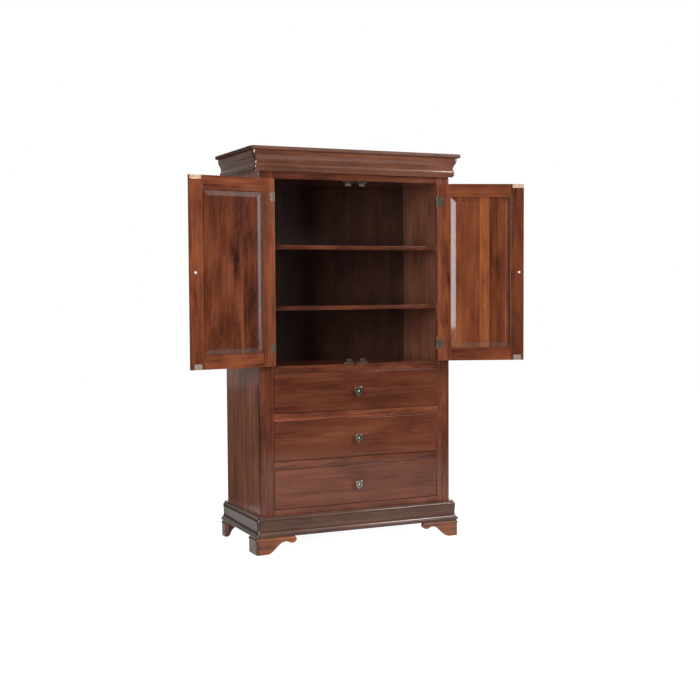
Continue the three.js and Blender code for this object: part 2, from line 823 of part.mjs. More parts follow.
function drawerFront() {
  const halfX = halfOpening - drawerGap;
  const halfZ = drawerOpening / 2 - drawerGap;
  const levels = [
    [0, drawerEase],
    [drawerEase / 3, drawerEase / 3],
    [drawerEase, 0],
    [drawerFrontThickness, 0],
  ];
  const signs = [[-1, -1], [1, -1], [1, 1], [-1, 1]];
  const rings = levels.map(([y, inset]) => signs.map(([sx, sz]) => new THREE.Vector3(
    sx * (halfX - inset), y, drawerOpening / 2 + sz * (halfZ - inset))));
  let body = loft(rings, signs.map(([sx, sz]) => new THREE.Vector2(sx, sz)));
  const innerX = halfX - drawerSideThickness;
  for (const centre of tailCentres()) {
    const socket = tail(tailLap, drawerFrontThickness + overrun, centre, seatGap);
    for (const x of [-halfX - overrun, innerX - seatGap]) {
      body = body.subtract(runX(socket, drawerSideThickness + seatGap + overrun, [x, 0, 0]));
    }
  }
  const slot = board(
    [-innerX - drawerGroove, innerX + drawerGroove],
    [drawerFrontThickness - drawerGroove, drawerFrontThickness + overrun],
    [drawerBottomLift - seatGap, drawerBottomLift + drawerBottomThickness + seatGap]);
  return body.subtract(slot).subtract(pullHole(0, drawerOpening / 2, 0, drawerFrontThickness));
}

function drawerBox() {
  const outer = halfOpening - drawerGap;
  const inner = outer - drawerSideThickness;
  const start = drawerFrontThickness + seatGap;
  const end = drawerFrontThickness + drawerLength;
  const backBottom = drawerBottomLift + drawerBottomThickness;
  let body = board(
    [-inner, inner], [end - drawerSideThickness, end], [backBottom, backBottom + drawerBackHeight])
    .add(board(
      [-inner - drawerSideThickness / 2, inner + drawerSideThickness / 2],
      [start - drawerGroove + seatGap, end],
      [drawerBottomLift, backBottom]));
  for (const side of [-1, 1]) {
    body = body.add(board([side * inner, side * outer], [start, end], [seatGap, seatGap + drawerSideHeight]));
    for (const centre of tailCentres()) {
      const shape = tail(tailLap + seatGap, start + seatGap, centre, 0);
      body = body.add(runX(shape, drawerSideThickness, [Math.min(side * inner, side * outer), 0, 0]));
    }
  }
  return body;
}

// The whole piece

const armoire = new THREE.Group();

function addCase() {
  add(armoire, 'left_side_panel', sidePanel(), caseWood());
  add(armoire, 'right_side_panel', mirrored(sidePanel()), caseWood());
  add(armoire, 'left_face_stile', faceStile(), frameWood());
  add(armoire, 'right_face_stile', mirrored(faceStile()), frameWood());
  add(armoire, 'top_deck', railedDeck(ceiling, ceiling, crownTopBottom), frameWood());
  add(armoire, 'middle_deck', railedDeck(deckTop - deckThickness, middleRailBottom, deckTop), frameWood());
  add(armoire, 'back_panel', backPanel(), caseWood());
  const dividers = [['bottom', 0], ['lower', 1], ['upper', 2]];
  for (const [name, i] of dividers) {
    const top = drawerFloor + i * drawerPitch;
    const railBottom = i === 0 ? footHeight : top - dividerHeight;
    add(armoire, `${name}_drawer_divider`, drawerDivider(top, railBottom), frameWood());
  }
  add(armoire, 'lower_shelf', shelf(shelfHeights[0]), caseWood());
  add(armoire, 'upper_shelf', shelf(shelfHeights[1]), caseWood());
}

function addMouldings() {
  const runs = [['crown_moulding', crownProfile()], ['base_moulding', baseProfile()]];
  for (const [name, profile] of runs) {
    const side = loft(sideRings(profile, caseDepth), profile);
    add(armoire, `${name}_left`, side, frameWood());
    add(armoire, `${name}_right`, mirrored(side), frameWood());
    add(armoire, `${name}_front`, loft(frontRings(profile), profile), frameWood());
  }
  add(armoire, 'crown_top', crownTop(), frameWood());
}

function addFeet() {
  const feet = [['front_foot', frontFoot()], ['back_foot', backFoot()]];
  for (const [name, foot] of feet) {
    add(armoire, `left_${name}`, foot, frameWood());
    add(armoire, `right_${name}`, mirrored(foot), frameWood());
  }
}

function addDoor(name, side, openAngle) {
  const door = new THREE.Group();
  door.position.set(-side * hingeAxisX, hingeAxisY, 0);
  door.rotation.z = THREE.MathUtils.degToRad(-side * openAngle);
  armoire.add(door);
  const nearStile = doorEdge + doorMember;
  const farStile = doorFar - doorMember;
  const pullX = side * (doorFar - doorPullInset);
  const pullZ = (doorBottom + doorTop) / 2;
  const meetingStile = doorStile(side, doorFar, farStile)
    .subtract(pullHole(pullX, pullZ, doorFront, doorBack));
  add(door, `${name}_door_hinge_stile`, doorStile(side, doorEdge, nearStile), doorWood());
  add(door, `${name}_door_meeting_stile`, meetingStile, doorWood());
  add(door, `${name}_door_top_rail`, doorRail(side, doorTop, doorTop - doorMember), doorWood());
  add(door, `${name}_door_bottom_rail`, doorRail(side, doorBottom, doorBottom + doorMember), doorWood());
  add(door, `${name}_door_panel`, raisedPanel(side), panelWood());
  add(door, `${name}_door_pull`, moved(shieldPull(doorFront, doorBack), pullX, 0, pullZ), agedNickel());
  add(door, `${name}_door_top_strike`, topStrike(side), brightBrass());
  add(door, `${name}_door_bottom_strike`, bottomStrike(side), zincSteel());
  for (const [end, z] of [['lower', doorBottom + hingeEndDistance], ['upper', doorTop - hingeEndDistance]]) {
    add(door, `${name}_${end}_hinge_door_leaf`, moved(doorLeaf(side), 0, 0, z), agedNickel());
    const leaf = moved(frameLeaf(side), -side * hingeAxisX, hingeAxisY, z);
    add(armoire, `${name}_${end}_hinge_frame_leaf`, leaf, agedNickel());
  }
}

function addCatches() {
  for (const [name, x] of [['left', -catchOffset], ['right', catchOffset]]) {
    add(armoire, `${name}_upper_catch`, doorCatch(x, ceiling, -1), zincSteel());
    add(armoire, `${name}_lower_catch`, doorCatch(x, deckTop, 1), zincSteel());
  }
}

function addDrawers() {
  for (const [name, i] of [['bottom', 0], ['middle', 1], ['top', 2]]) {
    const drawer = new THREE.Group();
    drawer.position.z = drawerFloor + i * drawerPitch;
    armoire.add(drawer);
    const pull = moved(shieldPull(0, drawerFrontThickness), 0, 0, drawerOpening / 2);
    add(drawer, `${name}_drawer_front`, drawerFront(), frameWood());
    add(drawer, `${name}_drawer_box`, drawerBox(), boxWood());
    add(drawer, `${name}_drawer_pull`, pull, agedNickel());
  }
}

addCase();
addMouldings();
addFeet();
addDoor('left', 1, leftDoorDegrees);
addDoor('right', -1, rightDoorDegrees);
addCatches();
addDrawers();

// Stand the piece on the origin
armoire.updateMatrixWorld(true);
const extent = new THREE.Box3().setFromObject(armoire);
const centre = extent.getCenter(new THREE.Vector3());
armoire.position.set(-centre.x, -centre.y, -extent.min.z);
armoire.updateMatrixWorld(true);

export default armoire;
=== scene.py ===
import json
import math
import bmesh
import bpy
from mathutils import Matrix, Vector

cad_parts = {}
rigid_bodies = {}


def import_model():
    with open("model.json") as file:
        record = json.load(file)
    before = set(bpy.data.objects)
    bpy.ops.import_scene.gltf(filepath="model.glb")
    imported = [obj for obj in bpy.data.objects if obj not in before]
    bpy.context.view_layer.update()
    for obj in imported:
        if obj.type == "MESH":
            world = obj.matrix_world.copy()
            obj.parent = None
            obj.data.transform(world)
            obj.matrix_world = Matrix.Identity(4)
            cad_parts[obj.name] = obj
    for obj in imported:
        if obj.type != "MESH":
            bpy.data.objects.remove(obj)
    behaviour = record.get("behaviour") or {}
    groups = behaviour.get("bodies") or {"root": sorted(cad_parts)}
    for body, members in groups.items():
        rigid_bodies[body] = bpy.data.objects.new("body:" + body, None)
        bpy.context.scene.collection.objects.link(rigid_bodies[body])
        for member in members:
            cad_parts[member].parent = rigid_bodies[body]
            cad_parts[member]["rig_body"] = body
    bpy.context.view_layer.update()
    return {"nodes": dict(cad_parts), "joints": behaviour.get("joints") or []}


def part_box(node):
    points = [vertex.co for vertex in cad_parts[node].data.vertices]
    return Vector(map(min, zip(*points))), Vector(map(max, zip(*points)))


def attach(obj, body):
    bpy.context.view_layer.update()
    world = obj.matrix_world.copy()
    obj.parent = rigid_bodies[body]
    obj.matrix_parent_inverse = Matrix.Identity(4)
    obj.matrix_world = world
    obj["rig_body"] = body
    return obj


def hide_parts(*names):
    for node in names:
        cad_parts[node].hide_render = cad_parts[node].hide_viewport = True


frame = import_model()
scene = bpy.context.scene
mm = 0.001
print("frame loaded:", len(frame["nodes"]), "nodes")

# Where the case stands in the frame: its centre line, its front face and the floor
stileLow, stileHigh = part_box("left_face_stile")[0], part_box("right_face_stile")[1]
caseOrigin = Vector(((stileLow.x + stileHigh.x) / 2, stileLow.y, 0))

# Each door's own space: x along the door from its hinge, y into the case when shut, z up from the floor
doorSpaces = {}
for joint in frame["joints"]:
    if joint["name"].endswith("door_hinge"):
        opening = math.radians(-max(joint["range_deg"], key=abs))  # the way back from shut to where it stands
        axis = Matrix.Translation((joint["pos_m"][0], joint["pos_m"][1], 0))
        doorSpaces[joint["name"].split("_")[0]] = axis @ Matrix.Rotation(opening, 4, "Z")


def caseSpace(x, y, z):  # a place in the case, in millimetres from its front face and centre line
    return caseOrigin + Vector((x, y, z)) * mm


def hexColor(text, depth=1.0):  # depth scales the colour, 1 as written: the stain's own depth, and on some boards painted light or shade
    parts = [int(text[i:i + 2], 16) / 255 for i in (1, 3, 5)]
    linear = [c / 12.92 if c <= 0.04045 else ((c + 0.055) / 1.055) ** 2.4 for c in parts]
    return tuple(depth * c for c in linear) + (1.0,)


def waveScale(length):  # a Wave Texture's scale for bands this many millimetres apart
    return 2 * math.pi / (20 * length * mm)


def addNode(tree, kind, links=None, **settings):
    # one node, with its settings, its socket values and what feeds it
    node = tree.nodes.new("ShaderNode" + kind)
    for key, value in settings.items():
        setattr(node, key, value)
    for key, value in (links or {}).items():
        socket = node.inputs[key]
        if isinstance(value, bpy.types.NodeSocket):
            tree.links.new(value, socket)
        else:
            socket.default_value = value
    return node


def newMaterial(name):
    material = bpy.data.materials.new(name)
    material.use_nodes = True
    material.node_tree.nodes.clear()
    return material, material.node_tree


# Camera, solved from the vanishing points and the edges of the piece
camera = {
    "place": (-2481.45, -5387.29, 1316.52),  # mm in the case's own space
    "yaw": 24.36, "pitch": -3.19, "roll": -0.31,  # degrees
    "lens": 60.73, "sensor": 36,  # mm
    "reach": 60,  # m
}


def addCamera(values):
    yaw, pitch, roll = (math.radians(values[k]) for k in ("yaw", "pitch", "roll"))
    forward = Vector((math.sin(yaw) * math.cos(pitch), math.cos(yaw) * math.cos(pitch), math.sin(pitch)))
    right = Vector((math.cos(yaw), -math.sin(yaw), 0))
    up = right.cross(forward)
    tiltedRight = math.cos(roll) * right + math.sin(roll) * up
    tiltedUp = math.cos(roll) * up - math.sin(roll) * right
    data = bpy.data.cameras.new("photoCamera")
    data.lens, data.sensor_width, data.clip_end = values["lens"], values["sensor"], values["reach"]
    cameraObject = bpy.data.objects.new("photoCamera", data)
    turn = Matrix((tiltedRight, tiltedUp, -forward)).transposed()
    cameraObject.matrix_world = Matrix.Translation(caseSpace(*values["place"])) @ turn.to_4x4()
    scene.collection.objects.link(cameraObject)
    scene.camera = cameraObject


addCamera(camera)

# Softboxes, in millimetres and watts: a tall one far to the left, a tall one to the right, a narrow strip by the
# camera that draws the light line down the right panel's bevel, a small high one for the upper bevels and the
# crown, one overhead that lights the base's rounds more and more to the right, and a fill behind
lamps = {
    "leftSoftbox": {"place": (-3900, -3250, 1800), "aim": (0, 0, 1150), "size": (1500, 2300), "power": 176},
    "rightSoftbox": {"place": (2950, -1860, 2100), "aim": (0, 0, 1200), "size": (900, 2700), "power": 74},
    "cameraStrip": {"place": (-2454, -5607, 1950), "aim": (500, 0, 1500), "size": (260, 2200), "power": 13.5},
    "highStrip": {"place": (1600, -2980, 3250), "aim": (-600, 0, 1750), "size": (1200, 800), "power": 2.8},
    "overhead": {"place": (1950, -1900, 2950), "aim": (300, 0, 400), "size": (650, 500), "power": 22},
    "backFill": {"place": (2400, 3800, 2300), "aim": (0, 400, 1000), "size": (2400, 2000), "power": 30},
}


def addLamp(name, values):
    data = bpy.data.lights.new(name, "AREA")
    data.shape, data.size, data.size_y = "RECTANGLE", values["size"][0] * mm, values["size"][1] * mm
    data.energy = values["power"]
    lamp = bpy.data.objects.new(name, data)
    place, aim = caseSpace(*values["place"]), caseSpace(*values["aim"])
    lamp.matrix_world = Matrix.Translation(place) @ (place - aim).to_track_quat("Z", "Y").to_matrix().to_4x4()
    lamp.visible_camera = False
    scene.collection.objects.link(lamp)


for lampName, lampValues in lamps.items():
    addLamp(lampName, lampValues)

# The room: pale paper floor, a white backdrop behind, a pale ceiling, dim elsewhere. Seen directly it is white.
studio = {
    "paper": "#9C9C9C", "glow": 0.955,  # the floor's own tone, and how white it shines to the eye
    # in gloss the floor shines as a painted pool of light round the piece, and beyond the pool its tone is
    # painted darker
    "glossGlow": 0.3, "far": 0.15,  # in gloss: how the floor shines in the pool, its share of tone beyond
    "pool": (-900, 2000, 2400),  # mm: the pool's middle in y, and where it starts and stops fading
    "backdropTurn": 24.4,  # degrees, as the camera looks
    "dim": 0.015, "dimLight": 0.01,  # the room's dark side as gloss sees it, and as it lights
    "white": 0.8, "whiteLight": 0.25,  # the same for the backdrop and the ceiling
    "sides": 9000, "front": 4200, "back": 9000,  # mm of floor from the middle of the case's front
}


def rayKinds(tree):  # whether a ray comes from the eye, and whether it is mirrored or goes through glass
    path = addNode(tree, "LightPath")
    shiny = addNode(tree, "Math", {0: path.outputs["Is Glossy Ray"], 1: path.outputs["Is Transmission Ray"]},
                    operation="ADD", use_clamp=True)
    return path.outputs["Is Camera Ray"], shiny.outputs[0]


def addStudio(values):
    world = bpy.data.worlds.new("studioRoom")
    world.use_nodes = True
    scene.world = world
    tree = world.node_tree
    tree.nodes.clear()
    aim = addNode(tree, "TexCoord").outputs["Generated"]
    turn = math.radians(values["backdropTurn"])
    facing = addNode(tree, "VectorMath", {0: aim, 1: (math.sin(turn), math.cos(turn), 0)},
                     operation="DOT_PRODUCT")
    behind = addNode(tree, "MapRange", {"Value": facing.outputs["Value"], "From Min": 0.62,
                                        "From Max": 0.96}, interpolation_type="SMOOTHSTEP")
    height = addNode(tree, "SeparateXYZ", {0: aim})
    above = addNode(tree, "MapRange", {"Value": height.outputs["Z"], "From Min": 0.35, "From Max": 0.8},
                    interpolation_type="SMOOTHSTEP")
    bright = addNode(tree, "Math", {0: behind.outputs[0], 1: above.outputs[0]}, operation="MAXIMUM")
    light = addNode(tree, "MapRange", {"Value": bright.outputs[0], "To Min": values["dimLight"],
                                       "To Max": values["whiteLight"]})
    mirrored = addNode(tree, "MapRange", {"Value": bright.outputs[0], "To Min": values["dim"],
                                          "To Max": values["white"]})
    seen, shiny = rayKinds(tree)
    level = addNode(tree, "Mix", {"Factor": shiny, "A": light.outputs[0], "B": mirrored.outputs[0]})
    shown = addNode(tree, "Mix", {"Factor": seen, "A": level.outputs[0], "B": 1.0})
    background = addNode(tree, "Background", {"Color": (1, 1, 1, 1), "Strength": shown.outputs[0]})
    addNode(tree, "OutputWorld", {"Surface": background.outputs["Background"]})

    # Matt white paper sweep. It glows to the eye. In gloss it is a painted pool of light round the piece and is
    # painted darker beyond it, and it still takes the faint shadow of the feet.
    paper, tree = newMaterial("white paper sweep")
    seen, shiny = rayKinds(tree)
    middle = caseSpace(0, values["pool"][0], 0)
    apart = addNode(tree, "VectorMath", {0: addNode(tree, "TexCoord").outputs["Object"], 1: middle},
                    operation="DISTANCE")
    # the painted pool of light, as gloss sees the floor: full near the piece, fading to the far share beyond
    pool = addNode(tree, "MapRange", {
        "Value": apart.outputs["Value"], "From Min": values["pool"][1] * mm, "From Max": values["pool"][2] * mm,
        "To Min": 1.0, "To Max": values["far"]}, interpolation_type="SMOOTHSTEP")
    level = addNode(tree, "Mix", {"Factor": shiny, "A": 1.0, "B": pool.outputs[0]})
    tone = addNode(tree, "VectorMath", {0: hexColor(values["paper"])[:3], "Scale": level.outputs[0]},
                   operation="SCALE")
    nearby = addNode(tree, "MapRange", {"Value": pool.outputs[0], "From Min": values["far"],
                                        "To Max": values["glossGlow"]})
    sheen = addNode(tree, "Math", {0: shiny, 1: nearby.outputs[0]}, operation="MULTIPLY")
    shown = addNode(tree, "Math", {0: seen, 1: values["glow"], 2: sheen.outputs[0]}, operation="MULTIPLY_ADD")
    glow = addNode(tree, "Emission", {"Color": (1, 1, 1, 1), "Strength": shown.outputs[0]})
    matt = addNode(tree, "BsdfDiffuse", {"Color": tone.outputs[0], "Roughness": 0.9})
    both = addNode(tree, "AddShader", {0: matt.outputs[0], 1: glow.outputs[0]})
    addNode(tree, "OutputMaterial", {"Surface": both.outputs[0]})

    mesh = bmesh.new()
    bmesh.ops.create_grid(mesh, x_segments=1, y_segments=1, size=1)
    deep = values["back"] + values["front"]
    bmesh.ops.scale(mesh, verts=mesh.verts, vec=Vector((values["sides"], deep / 2, 1)) * mm)
    bmesh.ops.translate(mesh, verts=mesh.verts, vec=caseSpace(0, deep / 2 - values["front"], 0))
    data = bpy.data.meshes.new("paperFloor")
    mesh.to_mesh(data)
    mesh.free()
    floor = bpy.data.objects.new("paperFloor", data)
    floor.data.materials.append(paper)
    scene.collection.objects.link(floor)


addStudio(studio)
scene.view_settings.view_transform = "Standard"
print("camera, lamps and floor ready")


weldDistance = 0.004  # mm between corners that are one
# Degrees between two faces: flat is one face, an arris gets eased, a crisp edge has a sharp line of light
flatAngle, arrisAngle, crispAngle, panelCrispAngle = 0.4, 40, 35, 5


def dressed(nodeName, ease, crisp=crispAngle):
    # a copy of a CAD solid with its triangles joined into whole faces and its arrises eased
    source = frame["nodes"][nodeName]
    mesh = bmesh.new()
    mesh.from_mesh(source.data)
    bmesh.ops.remove_doubles(mesh, verts=mesh.verts, dist=weldDistance * mm)
    bmesh.ops.dissolve_limit(mesh, angle_limit=math.radians(flatAngle), verts=mesh.verts, edges=mesh.edges)
    if ease:
        arrises = [e for e in mesh.edges
                   if len(e.link_faces) == 2 and e.calc_face_angle(0) > math.radians(arrisAngle)]
        bmesh.ops.bevel(mesh, geom=arrises, offset=ease * mm, offset_type="OFFSET", affect="EDGES", segments=2,
                        profile=0.5, clamp_overlap=True, material=-1)
    piece = finished(mesh, "eased_" + nodeName, crisp)
    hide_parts(nodeName)
    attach(piece, source["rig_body"])
    return piece


def finished(mesh, name, crisp=crispAngle):
    # the mesh as an object, smooth where it is round, with its flat faces kept flat up to their eased arrises
    mesh.normal_update()
    for face in mesh.faces:
        face.smooth = True
    for edge in mesh.edges:
        edge.smooth = edge.calc_face_angle(0) < math.radians(crisp)
    data = bpy.data.meshes.new(name)
    mesh.to_mesh(data)
    mesh.free()
    piece = bpy.data.objects.new(name, data)
    scene.collection.objects.link(piece)
    weighted = piece.modifiers.new("flatFaces", "WEIGHTED_NORMAL")
    weighted.mode, weighted.keep_sharp = "FACE_AREA", True
    return piece


# Woods. A board is measured from its own middle: x across its grain, y through it, z along its grain.
grainTurns = {
    "up": Matrix.Identity(3),
    "across": Matrix.Rotation(math.radians(-90), 3, "Y"),
    "deep": Matrix.Rotation(math.radians(90), 3, "X"),
}
# Places in the noise's fourth dimension: the first board's, the step to the next, and how far a whole step of
# tone moves one of the boards that are glued together
firstSeed, seedStep, gluedApart = 1.7, 3.9, 7.3


def stainedCherry(name, wood, space, seed, depth):
    # American cherry, planed, wiped with a dark stain and sprayed with satin lacquer: fine close grain,
    # clouds and streaks where the stain took unevenly, paler arrises and a clear coat that mirrors softly
    material, tree = newMaterial(name)
    place = addNode(tree, "TexCoord").outputs["Object"]
    board = addNode(tree, "Mapping", {"Vector": place, "Rotation": space.to_euler(),
                                      "Location": space.to_translation()})
    along = board.outputs["Vector"]
    apart = addNode(tree, "SeparateXYZ", {0: along})

    # boards glued side by side: each has its own tone, and the figure breaks at the joint, because the tone
    # also moves the board's place in the noise
    half = wood["width"] / 2 * mm
    across = addNode(tree, "MapRange", {"Value": apart.outputs["X"], "From Min": -half, "From Max": half})
    glued = addNode(tree, "ValToRGB", {"Fac": across.outputs[0]})
    glued.color_ramp.interpolation = "CONSTANT"
    joints = sorted(wood["glued"])
    for spot in range(len(joints) - 2):
        glued.color_ramp.elements.new(0.5)
    for element, (edge, tone) in zip(glued.color_ramp.elements, joints):
        element.position = (edge + wood["width"] / 2) / wood["width"]
        element.color = (tone, tone, tone, 1)
    own = addNode(tree, "Math", {0: glued.outputs["Color"], 1: gluedApart, 2: seed},
                  operation="MULTIPLY_ADD").outputs[0]

    # growth rings, cut almost flat and slightly askew, so they close in long arches
    slow = addNode(tree, "Mapping", {"Vector": along, "Scale": wood["drift"]})  # bends per metre
    drift = addNode(tree, "TexNoise", {"Vector": slow.outputs[0], "W": own, "Scale": 1, "Detail": 2},
                    noise_dimensions="4D")
    centred = addNode(tree, "VectorMath", {0: drift.outputs["Color"], 1: (0.5, 0.5, 0.5)}, operation="SUBTRACT")
    swayed = addNode(tree, "VectorMath", {0: centred.outputs[0], "Scale": wood["sway"] * mm}, operation="SCALE")
    bent = addNode(tree, "VectorMath", {0: along, 1: swayed.outputs[0]}, operation="ADD")
    tilted = addNode(tree, "Mapping", {
        "Vector": bent.outputs[0], "Rotation": (math.radians(wood["tilt"]), 0, 0),
        "Location": (wood["pith"][0] * mm, wood["pith"][1] * mm, 0)})
    rings = addNode(tree, "TexWave", {"Vector": tilted.outputs[0], "Scale": waveScale(wood["ring"]),
                                      "Distortion": 1.2, "Detail": 2, "Detail Scale": 0.4},
                    wave_type="RINGS", rings_direction="Z", wave_profile="SAW")

    # streaks, as (mm across, mm along, contrast). The finest are 1.6 mm where real fibres are 0.3 mm,
    # as coarse as they need to be to show.
    shade = addNode(tree, "Math", {0: rings.outputs["Fac"], 1: wood["rings"], 2: 0.5 - wood["rings"] / 2},
                    operation="MULTIPLY_ADD").outputs[0]
    fibre = None
    for wide, long, contrast in wood["streaks"]:
        size = addNode(tree, "Mapping", {"Vector": bent.outputs[0],
                                         "Scale": Vector((1 / wide, 1 / wide, 1 / long)) / mm})
        streak = addNode(tree, "TexNoise", {"Vector": size.outputs[0], "W": own, "Scale": 1, "Detail": 2,
                                            "Roughness": 0.55}, noise_dimensions="4D")
        shade = addNode(tree, "Math", {0: streak.outputs["Fac"], 1: contrast, 2: shade},
                        operation="MULTIPLY_ADD").outputs[0]
        shade = addNode(tree, "Math", {0: shade, 1: contrast / 2}, operation="SUBTRACT").outputs[0]
        fibre = fibre or streak.outputs["Fac"]

    # curl: short bright and dark waves across the grain, that come and go in patches
    if wood["curl"]:
        wave = addNode(tree, "TexWave", {
            "Vector": bent.outputs[0], "Scale": waveScale(wood["curlLength"]), "Distortion": 5, "Detail": 3,
            "Detail Scale": 0.8, "Detail Roughness": 0.6}, wave_type="BANDS", bands_direction="DIAGONAL")
        patch = addNode(tree, "TexNoise", {"Vector": along, "W": own, "Scale": wood["curlPatches"], "Detail": 1},
                        noise_dimensions="4D")
        patches = addNode(tree, "MapRange", {"Value": patch.outputs["Fac"], "From Min": 0.42, "From Max": 0.62,
                                             "To Max": wood["curl"]})
        wavy = addNode(tree, "Math", {0: wave.outputs["Fac"], 1: 0.5}, operation="SUBTRACT")
        shade = addNode(tree, "Math", {0: wavy.outputs[0], 1: patches.outputs[0], 2: shade},
                        operation="MULTIPLY_ADD").outputs[0]
    toned = addNode(tree, "Math", {0: glued.outputs["Color"], 1: wood["gluedTone"], 2: shade},
                    operation="MULTIPLY_ADD")
    level = addNode(tree, "Math", {0: toned.outputs[0], 1: wood["gluedTone"] / 2}, operation="SUBTRACT")
    ramp = addNode(tree, "ValToRGB", {"Fac": level.outputs[0]})
    ramp.color_ramp.elements[0].color = hexColor(wood["dark"], depth)
    ramp.color_ramp.elements[1].color = hexColor(wood["light"], depth)
    ramp.color_ramp.elements.new(0.5).color = hexColor(wood["colour"], depth)

    # warmer patches where less stain took
    cloud = addNode(tree, "Mapping", {"Vector": along, "Scale": Vector((1 / 60, 1 / 60, 1 / 150)) / mm})
    clouds = addNode(tree, "TexNoise", {"Vector": cloud.outputs[0], "W": own, "Scale": 1, "Detail": 3,
                                        "Distortion": 0.5}, noise_dimensions="4D")
    warmth = addNode(tree, "MapRange", {"Value": clouds.outputs["Fac"], "From Min": 0.45, "From Max": 0.68,
                                        "To Max": wood["warmth"]})
    warmed = addNode(tree, "Mix", {"Factor": warmth.outputs[0], "A": ramp.outputs["Color"],
                                   "B": hexColor(wood["warm"], depth)}, data_type="RGBA")

    # darker where the cut crosses the grain: end grain soaks up more stain, and on the panels' top and bottom
    # bevels the same darkening is a painted shade
    facing = addNode(tree, "Mapping", {"Vector": addNode(tree, "TexCoord").outputs["Normal"],
                                       "Rotation": space.to_euler()}, vector_type="NORMAL")
    crossed = addNode(tree, "Math", {0: addNode(tree, "SeparateXYZ", {0: facing.outputs[0]}).outputs["Z"]},
                      operation="ABSOLUTE")
    # painted shade on the panels' bevels, besides the real darker end grain
    thirstAndBevelShade = addNode(tree, "MapRange", {"Value": crossed.outputs[0], "From Min": 0.08, "From Max": 0.3,
                                        "To Max": wood["endGrainAndBevelShade"]})
    soakedAndShaded = addNode(tree, "Mix", {"Factor": thirstAndBevelShade.outputs[0], "A": warmed.outputs["Result"],
                                   "B": hexColor(wood["dark"], depth / 2)}, data_type="RGBA")

    # paler on the arrises: stain thinned by sanding and hands, and partly a painted highlight along the edges
    edge = addNode(tree, "AmbientOcclusion", {"Distance": 2.5 * mm}, samples=4, inside=True, only_local=True)
    # part wear, part painted highlight on the arrises
    wornAndHighlit = addNode(tree, "MapRange", {"Value": edge.outputs["AO"], "From Min": 0.45, "From Max": 0.9,
                                      "To Min": wood["wearAndHighlight"], "To Max": 0.0})
    colour = addNode(tree, "Mix", {"Factor": wornAndHighlit.outputs["Result"], "A": soakedAndShaded.outputs["Result"],
                                   "B": hexColor(wood["warm"], depth)}, data_type="RGBA")
    gloss = addNode(tree, "MapRange", {"Value": fibre, "From Min": 0.3, "From Max": 0.7,
                                       "To Min": wood["roughness"] - 0.04, "To Max": wood["roughness"] + 0.06})
    bump = addNode(tree, "Bump", {"Height": fibre, "Strength": 0.1, "Distance": 0.08 * mm})
    shader = addNode(tree, "BsdfPrincipled", {
        "Base Color": colour.outputs["Result"], "Roughness": gloss.outputs["Result"], "IOR": 1.5,
        "Normal": bump.outputs["Normal"], "Coat Weight": wood["coat"], "Coat Roughness": wood["coatRoughness"],
        "Coat IOR": 1.5})
    addNode(tree, "OutputMaterial", {"Surface": shader.outputs["BSDF"]})
    return material


oneBoard = [(-150, 0.5), (0, 0.5)]

# The finishes. In millimetres: ring (a year's growth), pith (the tree's heart), sway, width, curlLength and the
# left edge of each glued board, with the board's tone beside it. In degrees: tilt. A metre: drift, curlPatches.
# rings, curl, gluedTone, warmth, the paler arrises (wear, and partly a painted highlight) and the darker end
# grain (with painted shade on the panels' top and bottom bevels) say how strongly each shows.
caseFinish = {
    "dark": "#34190F", "colour": "#5C3022", "light": "#804630", "warm": "#8A4A2C", "warmth": 0.35,
    "ring": 6.0, "rings": 0.16, "tilt": 2.0, "pith": (20, 70), "drift": (3, 3, 0.9), "sway": 30,
    "streaks": [(1.6, 30, 0.5), (7, 260, 0.9), (24, 700, 1.1), (60, 190, 1.2)],
    "curl": 0, "curlLength": 26, "curlPatches": 9, "wearAndHighlight": 0.3, "endGrainAndBevelShade": 0.6,
    "width": 300, "glued": oneBoard, "gluedTone": 0.25, "roughness": 0.22, "coat": 0.6, "coatRoughness": 0.05,
}
quiet = [(1.6, 30, 0.4), (8, 320, 0.6), (26, 700, 0.8), (80, 300, 1.1)]  # plainer boards
frameFinish = dict(caseFinish, dark="#3C1C12", colour="#6A3827", light="#90523C")
mouldingFinish = dict(frameFinish, dark="#3A2016", colour="#683E2E", light="#8E5C48", warm="#8A543C", streaks=[
    (1.6, 30, 0.4), (7, 400, 0.6), (30, 900, 0.7), (90, 300, 0.8)])
sideFinish = dict(mouldingFinish, width=504, glued=[
    (-252, 0.55), (-165, 0.2), (-60, 0.75), (40, 0.4), (150, 0.7)])
baseFinish = dict(mouldingFinish, dark="#2E1E16", colour="#5B3C2E", light="#7C5A48", warm="#7C5440")
footFinish = dict(frameFinish, dark="#3A2013", colour="#673B26", light="#8C573C", warm="#884C2C")
topFinish = dict(mouldingFinish, roughness=0.5, coat=0)
doorFinish = dict(caseFinish, dark="#4A2216", colour="#7E432D", light="#A05C3C", warm="#A05528", warmth=0.5)
drawerFinish = dict(caseFinish, dark="#3C1B12", colour="#6C3826", light="#885036", warmth=0.25, streaks=quiet)
backFinish = dict(caseFinish, streaks=quiet, roughness=0.6, coat=0)
linerFinish = dict(caseFinish, dark="#9C7447", colour="#B58A5C", light="#C9A278", warm="#C9A070",
                   roughness=0.4, coat=0)
panelFinish = dict(caseFinish, dark="#2E140D", colour="#65321F", light="#8E4E34", warm="#96502E", warmth=0.4,
                   width=314, coat=1.0)
curlyPanel = dict(panelFinish, curl=0.1, drift=(4, 4, 2.2), sway=55, gluedTone=0.4,
                  glued=[(-157, 0.3), (-54, 0.8), (-36, 0.35), (0, 0.6)],
                  streaks=[(1.6, 40, 0.6), (9, 320, 0.8), (55, 210, 1.0), (110, 300, 1.2)])
stripedPanel = dict(panelFinish, dark="#4A2214", colour="#7A4028", light="#A86036", gluedTone=0.9, streaks=quiet,
                    glued=[(-157, 0.3), (-45, 0.95), (5, 0.6)])
print("wood finishes ready")

